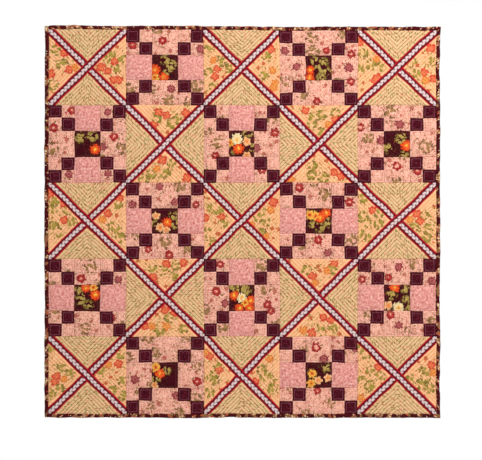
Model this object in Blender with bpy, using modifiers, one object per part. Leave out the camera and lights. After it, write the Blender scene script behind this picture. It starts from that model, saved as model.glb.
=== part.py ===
"""A patchwork wall quilt on its hanging rail.

Frame: metres, +Z up, the quilt's face towards -Y. The origin is on the wall, midway between the two
wall hooks, at the height of the hanging rod's axis.

Thirteen crossed blocks and twelve chain blocks make the quilt top. Under it lie the batting and the
backing, and one mitred binding runs round the edge. A cloth sleeve on the back slides over a wooden
rod, and the rod's ends lie in two steel hooks, each fixed to the wall with one countersunk screw.
"""

import math

import bmesh
import bpy

# Quilt top
GRID = 5
BLOCK_SIDE = 0.2286
STRIP_WIDTH = 0.0264
BINDING_WIDTH = 0.0095

# Layers, front to back
PATCH_THICKNESS = 0.0010
BATTING_THICKNESS = 0.0040
BACKING_THICKNESS = 0.0008
BINDING_CLOTH = 0.0008
SLEEVE_CLOTH = 0.0008
GAP = 0.0003  # between pieces that touch

# Hanging rod and sleeve
ROD_RADIUS = 0.0080
ROD_END_CHAMFER = 0.0015
ROD_END_INSET = 0.0140  # from the quilt's side edge to the rod's end
TOP_ABOVE_ROD = 0.0240  # from the rod's axis up to the quilt's top edge
SLEEVE_END_INSET = 0.0450  # from the quilt's side edge to the sleeve's end
SLEEVE_DROP = 0.0920  # from the rod's axis down to the sleeve's lower seam
SLEEVE_SEAM = 0.0060  # height of the sewn lower edge
SLEEVE_CORNER = 0.0040  # radius of the sleeve's upper front corner

# Wall hooks
STANDOFF = 0.0450  # from the wall to the rod's axis
HOOK_STEEL = 0.0030
HOOK_WIDTH = 0.0180
HOOK_END_INSET = 0.0035  # from the rod's end back to the hook's outer side
HOOK_CLEARANCE = 0.0005  # round the rod
HOOK_LIP = 0.0045  # height of the front lip above the rod's axis
HOOK_TO_QUILT = 0.0015  # from the cradle's front to the back of the quilt
HOOK_SHOULDER = 0.0020  # height of the arm's top above the rod's axis
PLATE_DROP = 0.0550  # from the rod's axis down to the wall plate's lower end

# Screws
SCREW_DROP = 0.0300  # from the rod's axis down to the screw
SCREW_LENGTH = 0.0300
SCREW_RADIUS = 0.0020
SCREW_HEAD_RADIUS = 0.0042
SCREW_HEAD_HEIGHT = 0.0024
SCREW_TIP = 0.0050
RECESS_LENGTH = 0.0046
RECESS_WIDTH = 0.0011
RECESS_DEPTH = 0.0014

# Fineness of round shapes
ARC_STEPS = 24
LIP_STEPS = 8
CORNER_STEPS = 6
ROUND_STEPS = 48
CHAMFER_STEPS = 2
MERGE = 1e-5  # points closer than this become one

# Worked out from the sizes above
ROD_TO_QUILT = ROD_RADIUS + HOOK_CLEARANCE + HOOK_STEEL + HOOK_TO_QUILT
QUILT_SIDE = GRID * BLOCK_SIDE + 2 * BINDING_WIDTH
QUILT_CENTRE_Z = TOP_ABOVE_ROD - QUILT_SIDE / 2
ROD_LENGTH = QUILT_SIDE - 2 * ROD_END_INSET
SLEEVE_LENGTH = QUILT_SIDE - 2 * SLEEVE_END_INSET
HOOK_X = ROD_LENGTH / 2 - HOOK_END_INSET - HOOK_WIDTH / 2
BACKING_Y = -ROD_TO_QUILT - BACKING_THICKNESS / 2
BATTING_Y = -ROD_TO_QUILT - BACKING_THICKNESS - GAP - BATTING_THICKNESS / 2
PATCH_BACK_Y = BATTING_Y - BATTING_THICKNESS / 2 - GAP
PATCH_Y = PATCH_BACK_Y - PATCH_THICKNESS / 2

STAND_UP = (math.pi / 2, 0, 0)  # an outline's X and Y become X and Z
ALONG_X = (math.pi / 2, 0, math.pi / 2)  # an outline's X and Y become Y and Z


def clear_scene():
    for obj in list(bpy.data.objects):
        bpy.data.objects.remove(obj, do_unlink=True)


def make_collection(name):
    collection = bpy.data.collections.new(name)
    bpy.context.scene.collection.children.link(collection)
    return collection


def material(name, colour, roughness, metallic=0.0):
    made = bpy.data.materials.new(name)
    made.use_nodes = True
    shader = made.node_tree.nodes["Principled BSDF"]
    shader.inputs["Base Color"].default_value = (*colour, 1.0)
    shader.inputs["Roughness"].default_value = roughness
    shader.inputs["Metallic"].default_value = metallic
    return made


def pivot(name, location, parent=None):
    """An empty on a joint's axis, which carries the pieces that move about it."""
    empty = bpy.data.objects.new(name, None)
    empty.location = location
    empty.parent = parent
    PARTS.objects.link(empty)
    return empty


def outline(name, loops, thickness, location, rotation, parent, finish):
    """A flat plate from closed outlines: the first is its edge, and any others are holes."""
    curve = bpy.data.curves.new(name, "CURVE")
    curve.dimensions = "2D"
    curve.fill_mode = "BOTH"
    curve.extrude = thickness / 2
    for loop in loops:
        spline = curve.splines.new("POLY")
        spline.points.add(len(loop) - 1)
        for point, (x, y) in zip(spline.points, loop):
            point.co = (x, y, 0.0, 1.0)
        spline.use_cyclic_u = True
    curve.materials.append(finish)
    obj = bpy.data.objects.new(name, curve)
    obj.location = location
    obj.rotation_euler = rotation
    obj.parent = parent
    PARTS.objects.link(obj)
    return obj


def as_mesh(curve_object):
    """The same piece as a mesh with its caps welded on, so that it can be cut."""
    bpy.context.view_layer.update()
    graph = bpy.context.evaluated_depsgraph_get()
    mesh = bpy.data.meshes.new_from_object(curve_object.evaluated_get(graph))
    weld(mesh)
    obj = bpy.data.objects.new("cut_" + curve_object.name, mesh)
    obj.parent = curve_object.parent
    obj.matrix_world = curve_object.matrix_world.copy()
    PARTS.objects.link(obj)
    name = curve_object.name
    bpy.data.objects.remove(curve_object, do_unlink=True)
    obj.name = name
    return obj


def weld(mesh):
    shape = bmesh.new()
    shape.from_mesh(mesh)
    bmesh.ops.remove_doubles(shape, verts=shape.verts, dist=MERGE)
    bmesh.ops.recalc_face_normals(shape, faces=shape.faces)
    shape.to_mesh(mesh)
    shape.free()


def box(name, size, location, parent, finish, collection=None):
    bpy.ops.mesh.primitive_cube_add(size=1.0)
    obj = bpy.context.active_object
    obj.name = name
    obj.data.name = name
    for vertex in obj.data.vertices:
        vertex.co = [part * side for part, side in zip(vertex.co, size)]
    obj.location = location
    obj.parent = parent
    if finish is not None:
        obj.data.materials.append(finish)
    move_to(obj, collection or PARTS)
    return obj


def move_to(obj, collection):
    for old in list(obj.users_collection):
        old.objects.unlink(obj)
    collection.objects.link(obj)


def cut(obj, cutter):
    cutter.hide_render = True
    cutter.display_type = "WIRE"
    move_to(cutter, CUTTERS)
    modifier = obj.modifiers.new("cut_" + cutter.name, "BOOLEAN")
    modifier.operation = "DIFFERENCE"
    modifier.object = cutter


def arc(centre, radius, start, end, steps=ARC_STEPS):
    """Points along an arc, both ends included, with the angles in radians."""
    turns = [start + (end - start) * i / steps for i in range(steps + 1)]
    return [(centre[0] + radius * math.cos(a), centre[1] + radius * math.sin(a)) for a in turns]


# Quilt top


def block_centre(row, column):
    """Rows run down and columns run right, both from 0, as the quilt hangs."""
    middle = (GRID - 1) / 2
    x = (column - middle) * BLOCK_SIDE
    z = QUILT_CENTRE_Z - (row - middle) * BLOCK_SIDE
    return (x, PATCH_Y, z)


def long_strip_rises(row, column):
    """Whether a crossed block's long strip runs up to the right. The lower ones run down instead."""
    return row < 2 or (row == 2 and column > 0)


def mirrored(points, mirror):
    return [(-x, y) for x, y in reversed(points)] if mirror else points


def crossed_block(row, column, parent):
    """A long strip from corner to corner, between two halves of triangles and a short strip each."""
    half = BLOCK_SIDE / 2 - GAP / 2
    corner = STRIP_WIDTH / math.sqrt(2)  # the strip's width along the block's side
    lap = GAP * math.sqrt(2)
    falls = not long_strip_rises(row, column)
    strip = [
        (-half, -half),
        (-half + corner, -half),
        (half, half - corner),
        (half, half),
        (half - corner, half),
        (-half, -half + corner),
    ]
    lower = [(-half + corner + lap, -half), (half, -half), (half, half - corner - lap)]
    upper = [(half - corner - lap, half), (-half, half), (-half, -half + corner + lap)]
    shapes = {"long_strip": strip, "lower_half": lower, "upper_half": upper}
    for part, points in shapes.items():
        outline(
            f"crossed_block_{row + 1}_{column + 1}_{part}",
            [mirrored(points, falls)],
            PATCH_THICKNESS,
            block_centre(row, column),
            STAND_UP,
            parent,
            FINISH["rope_print"] if part == "long_strip" else FINISH["peach_print"],
        )


def chain_block(row, column, parent):
    side = BLOCK_SIDE - GAP
    box(
        f"chain_block_{row + 1}_{column + 1}",
        (side, PATCH_THICKNESS, side),
        block_centre(row, column),
        parent,
        FINISH["rose_print"],
    )


def quilt_top(parent):
    for row in range(GRID):
        for column in range(GRID):
            make_block = chain_block if (row + column) % 2 else crossed_block
            make_block(row, column, parent)


# Under and round the quilt top


def batting(parent):
    side = QUILT_SIDE - 2 * (BINDING_CLOTH + GAP)
    box(
        "batting",
        (side, BATTING_THICKNESS, side),
        (0, BATTING_Y, QUILT_CENTRE_Z),
        parent,
        FINISH["batting"],
    )


def backing(parent):
    side = QUILT_SIDE - 2 * (BINDING_CLOTH + GAP)
    box(
        "backing",
        (side, BACKING_THICKNESS, side),
        (0, BACKING_Y, QUILT_CENTRE_Z),
        parent,
        FINISH["backing_cloth"],
    )


def binding(parent):
    """A channel of cloth, folded over the edge of the batting and backing and mitred at the corners."""
    front = PATCH_BACK_Y - PATCH_THICKNESS
    back = -ROD_TO_QUILT + GAP + BINDING_CLOTH
    room_front = PATCH_BACK_Y
    room_back = -ROD_TO_QUILT + GAP
    window = GRID * BLOCK_SIDE + GAP
    room = QUILT_SIDE - 2 * BINDING_CLOTH
    middle = (0, (front + back) / 2, QUILT_CENTRE_Z)
    edge = box(
        "binding",
        (QUILT_SIDE, back - front, QUILT_SIDE),
        middle,
        parent,
        FINISH["binding_print"],
    )
    layers = box(
        "binding_room_for_layers",
        (room, room_back - room_front, room),
        (0, (room_front + room_back) / 2, QUILT_CENTRE_Z),
        parent,
        None,
    )
    face = box("binding_window", (window, 2 * (back - front), window), middle, parent, None)
    cut(edge, layers)
    cut(edge, face)


# Sleeve, rod, hooks and screws


def sleeve_section(inset, lower_edge):
    """One wall of the sleeve's section, seen along the rod, which is at (0, 0).

    The front lies flat on the quilt's back, and the cloth passes over the rod and down behind it to
    lower_edge, which is (distance from the quilt's back, height).
    """
    radius = ROD_RADIUS + GAP + SLEEVE_CLOTH - inset
    front = -ROD_TO_QUILT + GAP + inset
    corner = SLEEVE_CORNER - inset
    foot = (front - inset + lower_edge[0], lower_edge[1])
    away = math.hypot(*foot)
    tangent = math.atan2(foot[1], foot[0]) + math.acos(radius / away)
    over_rod = arc((0, 0), radius, tangent, math.pi / 2)
    front_corner = arc((front + corner, radius - corner), corner, math.pi / 2, math.pi, CORNER_STEPS)
    return [foot, *over_rod, *front_corner]


def hanging_sleeve(parent):
    outer = sleeve_section(0.0, (2 * SLEEVE_CLOTH, -SLEEVE_DROP))
    outer.append((outer[-1][0], -SLEEVE_DROP))
    inner = sleeve_section(SLEEVE_CLOTH, (SLEEVE_CLOTH, -SLEEVE_DROP + SLEEVE_SEAM))
    outline(
        "hanging_sleeve",
        [outer, inner],
        SLEEVE_LENGTH,
        (0, 0, 0),
        ALONG_X,
        parent,
        FINISH["sleeve_cloth"],
    )


def hanging_rod(parent):
    bpy.ops.mesh.primitive_cylinder_add(
        vertices=ROUND_STEPS,
        radius=ROD_RADIUS,
        depth=ROD_LENGTH,
        rotation=(0, math.pi / 2, 0),
    )
    rod = bpy.context.active_object
    rod.name = "hanging_rod"
    rod.parent = parent
    rod.data.materials.append(FINISH["rod_wood"])
    chamfer = rod.modifiers.new("end_chamfer", "BEVEL")
    chamfer.width = ROD_END_CHAMFER
    chamfer.segments = CHAMFER_STEPS
    chamfer.limit_method = "ANGLE"
    chamfer.angle_limit = math.radians(30)
    move_to(rod, PARTS)
    rod.data.shade_smooth()
    rod.data.set_sharp_from_angle(angle=math.radians(40))


def hook_section():
    """A bent steel strip: the wall plate, the arm and the open cradle under the rod."""
    inner = ROD_RADIUS + HOOK_CLEARANCE
    outer = inner + HOOK_STEEL
    rod = (-STANDOFF, 0)
    under_arm = HOOK_SHOULDER - HOOK_STEEL
    start = math.asin(under_arm / outer)
    lip = (-STANDOFF - inner - HOOK_STEEL / 2, HOOK_LIP)
    return [
        (0, HOOK_SHOULDER),
        (0, -PLATE_DROP),
        (-HOOK_STEEL, -PLATE_DROP),
        (-HOOK_STEEL, under_arm),
        *arc(rod, outer, start, -math.pi),
        *arc(lip, HOOK_STEEL / 2, math.pi, 0, LIP_STEPS),
        *arc(rod, inner, -math.pi, 0),
        (-STANDOFF + inner, HOOK_SHOULDER),
    ]


def wall_hook(side, x, parent):
    """The bent strip, with a countersunk hole in its plate."""
    hook = outline(
        f"wall_hook_{side}",
        [hook_section()],
        HOOK_WIDTH,
        (x, 0, 0),
        ALONG_X,
        parent,
        FINISH["hook_steel"],
    )
    hook = as_mesh(hook)
    through = turned(
        f"hook_hole_{side}",
        [
            (0, HOOK_STEEL),
            (SCREW_HEAD_RADIUS + GAP + HOOK_STEEL, HOOK_STEEL),
            (SCREW_HEAD_RADIUS + GAP, 0),
            (SCREW_RADIUS + GAP, -SCREW_HEAD_HEIGHT),
            (SCREW_RADIUS + GAP, -2 * HOOK_STEEL),
            (0, -2 * HOOK_STEEL),
        ],
        (x, -HOOK_STEEL, -SCREW_DROP),
        parent,
        None,
    )
    cut(hook, through)


def turned(name, profile, location, parent, finish):
    """A round piece with its axis along Y, from a profile of (radius, height towards the front)."""
    mesh = bpy.data.meshes.new(name)
    points = [(radius, 0, height) for radius, height in profile]
    edges = [(i, i + 1) for i in range(len(points) - 1)]
    mesh.from_pydata(points, edges, [])
    obj = bpy.data.objects.new(name, mesh)
    obj.location = location
    obj.rotation_euler = STAND_UP
    obj.parent = parent
    spin = obj.modifiers.new("turn", "SCREW")
    spin.steps = ROUND_STEPS
    spin.render_steps = ROUND_STEPS
    spin.use_merge_vertices = True
    spin.merge_threshold = MERGE
    if finish is not None:
        mesh.materials.append(finish)
    PARTS.objects.link(obj)
    return obj


def wall_screw(side, x, parent):
    """A countersunk wood screw, with a cross recess in its head."""
    screw = turned(
        f"wall_screw_{side}",
        [
            (0, 0),
            (SCREW_HEAD_RADIUS, 0),
            (SCREW_RADIUS, -SCREW_HEAD_HEIGHT),
            (SCREW_RADIUS, -SCREW_LENGTH + SCREW_TIP),
            (0, -SCREW_LENGTH),
        ],
        (x, -HOOK_STEEL, -SCREW_DROP),
        parent,
        FINISH["screw_steel"],
    )
    for way, size in (
        ("across", (RECESS_LENGTH, 2 * RECESS_DEPTH, RECESS_WIDTH)),
        ("upright", (RECESS_WIDTH, 2 * RECESS_DEPTH, RECESS_LENGTH)),
    ):
        slot = box(
            f"recess_{way}_{side}",
            size,
            (x, -HOOK_STEEL, -SCREW_DROP),
            parent,
            None,
        )
        cut(screw, slot)


def build():
    fixed = pivot("wall_origin", (0, 0, 0))
    rod_pivot = pivot("rod_axis", (0, -STANDOFF, 0), fixed)
    quilt_pivot = pivot("quilt_swing_axis", (0, 0, 0), rod_pivot)
    quilt_top(quilt_pivot)
    batting(quilt_pivot)
    backing(quilt_pivot)
    binding(quilt_pivot)
    hanging_sleeve(quilt_pivot)
    hanging_rod(rod_pivot)
    for side, x in (("left", -HOOK_X), ("right", HOOK_X)):
        wall_hook(side, x, fixed)
        wall_screw(side, x, fixed)


clear_scene()
PARTS = make_collection("wall_quilt")
CUTTERS = make_collection("cutters")
FINISH = {
    "rope_print": material("rope_print", (0.30, 0.10, 0.13), 0.85),
    "peach_print": material("peach_print", (0.75, 0.36, 0.15), 0.85),
    "rose_print": material("rose_print", (0.72, 0.33, 0.26), 0.85),
    "binding_print": material("binding_print", (0.10, 0.02, 0.03), 0.85),
    "batting": material("batting", (0.80, 0.76, 0.68), 0.95),
    "backing_cloth": material("backing_cloth", (0.72, 0.60, 0.45), 0.9),
    "sleeve_cloth": material("sleeve_cloth", (0.72, 0.60, 0.45), 0.9),
    "rod_wood": material("rod_wood", (0.50, 0.30, 0.14), 0.6),
    "hook_steel": material("hook_steel", (0.55, 0.55, 0.56), 0.4, 0.9),
    "screw_steel": material("screw_steel", (0.60, 0.60, 0.60), 0.35, 0.9),
}
build()
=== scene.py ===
"""The looks of a patchwork wall quilt on its hanging rail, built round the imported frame.

Every place is worked out from the CAD boxes, in metres. Inside a block, u runs right and v runs
down, both from 0 to 6, so that one unit is the side of a small square. Each piece of cloth carries
two UV maps: "cloth" is millimetres on the fabric as it was printed, and "quilting" is (how many
line spacings from the seam, millimetres along the line). A third, "motif", is the place inside the
nearest printed flower, in that flower's radii.
"""

import math
from collections import namedtuple
from contextlib import contextmanager

import bmesh
import bpy
import numpy as np
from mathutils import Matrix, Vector


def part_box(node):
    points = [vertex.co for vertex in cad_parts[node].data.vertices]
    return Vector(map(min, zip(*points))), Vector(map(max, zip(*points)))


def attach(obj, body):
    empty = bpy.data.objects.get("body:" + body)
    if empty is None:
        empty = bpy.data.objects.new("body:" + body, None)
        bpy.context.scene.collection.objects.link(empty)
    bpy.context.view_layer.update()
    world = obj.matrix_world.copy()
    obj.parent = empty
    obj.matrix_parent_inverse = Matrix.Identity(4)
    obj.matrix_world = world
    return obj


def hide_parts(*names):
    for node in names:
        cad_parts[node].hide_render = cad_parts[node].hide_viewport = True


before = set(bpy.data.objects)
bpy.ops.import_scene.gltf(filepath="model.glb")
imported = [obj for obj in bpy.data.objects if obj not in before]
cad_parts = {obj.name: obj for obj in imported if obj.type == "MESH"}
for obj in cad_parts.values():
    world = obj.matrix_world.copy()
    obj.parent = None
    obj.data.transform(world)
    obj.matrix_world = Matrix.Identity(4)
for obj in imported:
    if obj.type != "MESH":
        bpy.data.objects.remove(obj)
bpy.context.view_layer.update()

MM = 0.001
FAR = 9.0  # a place outside every printed flower, in a flower's radii
MOTIF_REACH = 2.4  # how many radii from its middle a flower still scatters leaves and stems
LEAFLET = 8.6  # mm between the leaves of a printed spray
BOLT = 900  # mm either way that a patch's place on its printed cloth may lie
BETWEEN_LINES = 0.5  # the quilting map where no line is stitched
PAST_LINES = 1.5  # and where the last line has been passed

# Sizes from the frame
GRID = 5
UNITS = 6
EDGE_LOW, EDGE_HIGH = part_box("binding")
BLOCK = (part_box("chain_block_1_4")[0].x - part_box("chain_block_1_2")[0].x) / 2
UNIT = BLOCK / UNITS
FIELD = GRID * BLOCK
QUILT = EDGE_HIGH.x - EDGE_LOW.x
MIDDLE_X = (EDGE_LOW.x + EDGE_HIGH.x) / 2
MIDDLE_Z = (EDGE_LOW.z + EDGE_HIGH.z) / 2
PATCH_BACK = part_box("chain_block_1_2")[1].y
BATTING_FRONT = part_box("batting")[0].y
BATTING_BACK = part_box("batting")[1].y
QUILT_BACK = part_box("backing")[1].y
BINDING_WIDTH = (QUILT - FIELD) / 2

# Lattices and stitching
CHAIN_CELLS = 120
CROSSED_CELLS = 134
STRIP_CELLS = 11  # from a block's diagonal to a strip's edge, along the block's side
ECHO_STEPS = 7  # lattice diagonals from one echo line to the next
INNER_CELLS = 3  # from a square's seam to the line quilted inside it
HALF_STRIP = STRIP_CELLS * BLOCK / CROSSED_CELLS / math.sqrt(2)
ECHO = ECHO_STEPS * BLOCK / CROSSED_CELLS / math.sqrt(2)
INNER = INNER_CELLS * BLOCK / CHAIN_CELLS
SEAM_ALLOWANCE = 6.35 * MM
ALLOWANCE_CLOTH = 0.14 * MM  # pressed flat
CHAIN_DEPTH = 0.08 * MM  # from the patches' backs to a chain block's seam allowance
CROSSED_DEPTH = 0.30 * MM  # and to a crossed block's, which lies behind it

# How far the cloth puffs up between its seams and stitched lines
SEAM_HEIGHT = 0.35 * MM  # a sewn seam, above the patches' backs
INNER_LIFT = 0.5 * MM  # the line stitched inside a square, above the seam
CHANNEL_PUFF = 0.75 * MM  # between that line and the seam
SQUARE_PUFF = 0.9 * MM  # inside that line, for any square
UNIT_PUFF = 1.1 * MM  # and this much more for each unit of its side
STRIP_PUFF = 1.5 * MM
STRIP_EASE = 0.7 * HALF_STRIP  # from a strip's seam to its full height
ECHO_LIFT = 0.45 * MM  # the triangles' stitched lines, above the seam
ECHO_PUFF = 1.15 * MM  # and the cloth between them
BORDER_EASE = 5 * MM  # from a block's edge to the triangles' full height
FINE_PUCKER = 0.16 * MM
BROAD_PUCKER = 0.30 * MM
BACKING_PUFF = 0.9 * MM
BACKING_THICKNESS = 0.4 * MM
BINDING_THICKNESS = 0.8 * MM
BACKING_INSET = 2.2 * MM  # from the pattern's edge to the backing's, inside the binding
BATTING_INSET = 3.5 * MM

# How the cloth hangs
SHRINK = 0.9913  # the quilting has drawn the top in to this share of its height
RISE = 2.0 * MM  # and its middle has moved up by this, towards the rod
SWELL = 0.25  # the padded binding is this share wider than its pattern
SEAM_DRIFT_X = (0, -0.3, 0.6, -4.7, -3.0, 0)  # mm to the right, left seam first
SEAM_DRIFT_Z = (0, 0.6, 3.3, 0.9, 3.6, 0)  # mm upwards, bottom seam first
RIPPLE = 2.2 * MM  # how far the lower part waves forward
WAVER = 0.8 * MM  # how far edges and seams stray over a hand's width
JOG = 0.6 * MM  # and over a finger's
DRAWN_IN = 3.2 * MM  # the top edge lies this much lower on the right

# Light and camera
SURROUND = 0.56
KEY_WATTS = 95.0
KEY_FROM = Vector((1.5, -2.3, 2.3))  # from the quilt's middle
FILL_WATTS = 22.0
FILL_FROM = Vector((-1.5, 3.0, 1.0))
CAMERA_AWAY = 4.5  # in front of the patches' backs
CAMERA_SHIFT = (-0.004, -0.0245)  # right of and above the hanging quilt's middle
VIEW_WIDTH = 1.2235 * QUILT
FLOOR_RADIUS = 1.5
FLOOR_BELOW = 0.45  # under the quilt's lower edge


def srgb(red, green, blue):
    """A linear colour from screen values of 0 to 255."""
    shares = [value / 255 for value in (red, green, blue)]
    linear = [s / 12.92 if s <= 0.04045 else ((s + 0.055) / 1.055) ** 2.4 for s in shares]
    return (*linear, 1.0)


# Printed flowers. The radius is in block units, and notch and heart are shares of it. No petals
# means a spray of leaves.
Motif = namedtuple("Motif", "petals notch heart radius outer inner middle")
MOTIFS = {
    "R": Motif(4, 0.28, 0.18, 0.39, srgb(216, 52, 40), srgb(246, 134, 84), srgb(206, 50, 38)),
    "O": Motif(5, 0.26, 0.24, 0.35, srgb(234, 120, 52), srgb(248, 172, 84), srgb(226, 88, 42)),
    "L": Motif(0, 0.0, 0.0, 0.45, srgb(100, 88, 28), srgb(172, 150, 62), srgb(100, 88, 28)),
    "B": Motif(4, 0.40, 0.20, 0.19, srgb(196, 76, 42), srgb(220, 112, 66), srgb(136, 100, 36)),
    "r": Motif(6, 0.18, 0.26, 0.37, srgb(152, 20, 28), srgb(192, 66, 58), srgb(240, 176, 146)),
    "w": Motif(7, 0.20, 0.50, 0.39, srgb(156, 22, 28), srgb(180, 42, 42), srgb(240, 168, 144)),
    "m": Motif(6, 0.26, 0.22, 0.38, srgb(134, 42, 52), srgb(190, 100, 94), srgb(98, 26, 36)),
    "s": Motif(0, 0.0, 0.0, 0.56, srgb(96, 62, 32), srgb(160, 120, 70), srgb(96, 62, 32)),
    "b": Motif(5, 0.50, 0.20, 0.21, srgb(174, 74, 64), srgb(200, 112, 90), srgb(124, 100, 60)),
    "D": Motif(12, 0.34, 0.26, 0.50, srgb(252, 230, 180), srgb(246, 200, 130), srgb(232, 146, 34)),
    "A": Motif(10, 0.30, 0.24, 0.47, srgb(228, 66, 26), srgb(240, 118, 50), srgb(252, 196, 70)),
    "Y": Motif(6, 0.32, 0.30, 0.40, srgb(248, 184, 84), srgb(240, 146, 50), srgb(196, 62, 30)),
    "P": Motif(5, 0.30, 0.30, 0.38, srgb(250, 190, 134), srgb(240, 150, 94), srgb(222, 122, 46)),
    "G": Motif(0, 0.0, 0.0, 0.43, srgb(104, 86, 30), srgb(184, 156, 84), srgb(104, 86, 30)),
}
ON_PEACH, ON_FLORAL, ON_POSY = "ROLB", "rwmsb", "DAYPG"

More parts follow.
